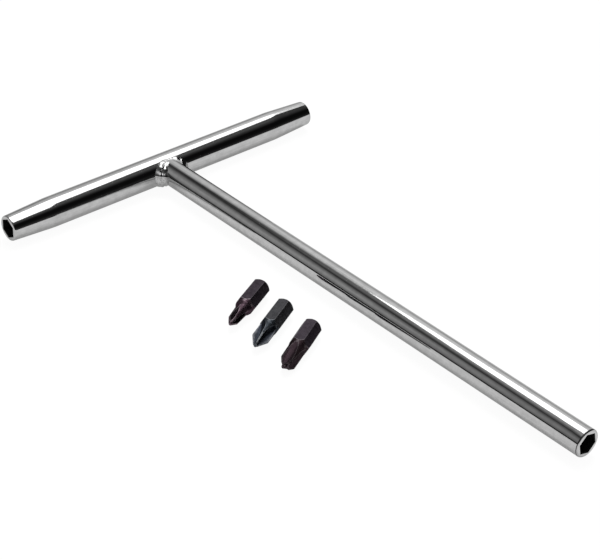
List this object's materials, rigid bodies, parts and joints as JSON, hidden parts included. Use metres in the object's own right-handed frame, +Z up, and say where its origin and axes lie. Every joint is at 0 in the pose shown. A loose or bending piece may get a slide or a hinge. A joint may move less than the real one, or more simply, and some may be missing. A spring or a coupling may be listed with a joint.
{
  "type": "t-handle bit driver",
  "caption": "Chrome-plated tubular T-handle screwdriver with a hex bit socket at the stem's mouth and at each handle end, and loose black cross-tip insert bits.",
  "frame": {"origin": "middle of the whole set's box, on the surface that the driver and the bits lie on", "axes": "+X along the handle, +Y from the stem's mouth towards the handle, +Z up off the surface"},
  "size_m": [0.14, 0.2202, 0.0115],
  "materials": {
    "chrome_plate": "bright plate over drawn tube, with fine marks along the tube and round the swaged ends",
    "plated_weld": "bright plate over a lumpy weld bead",
    "magnet_nickel": "nickel-plated magnet",
    "plain_steel": "bare turned steel",
    "black_oxide_plum": "black oxide with a plum cast on the turned and milled faces",
    "black_oxide_blue": "black oxide with a blue cast on the turned and milled faces",
    "black_oxide_brown": "black oxide with a red-brown cast on the turned and milled faces"
  },
  "bodies": {
    "driver": {"handle_tube": "chrome_plate", "stem_tube": "chrome_plate", "weld_bead": "plated_weld", "left_magnet": "magnet_nickel", "right_magnet": "magnet_nickel", "stem_magnet": "magnet_nickel", "left_stop_plug": "plain_steel", "right_stop_plug": "plain_steel"},
    "small_bit": {"cross_bit_small": "black_oxide_plum"},
    "medium_bit": {"cross_bit_medium": "black_oxide_blue"},
    "large_bit": {"cross_bit_large": "black_oxide_brown"}
  },
  "joints": [
    {"name": "small_bit_lift", "type": "slide", "parent": "driver", "child": "small_bit", "axis": [0, 0, 1], "range_m": [0, 0.05]},
    {"name": "medium_bit_lift", "type": "slide", "parent": "driver", "child": "medium_bit", "axis": [0, 0, 1], "range_m": [0, 0.05]},
    {"name": "large_bit_lift", "type": "slide", "parent": "driver", "child": "large_bit", "axis": [0, 0, 1], "range_m": [0, 0.05]}
  ]
}
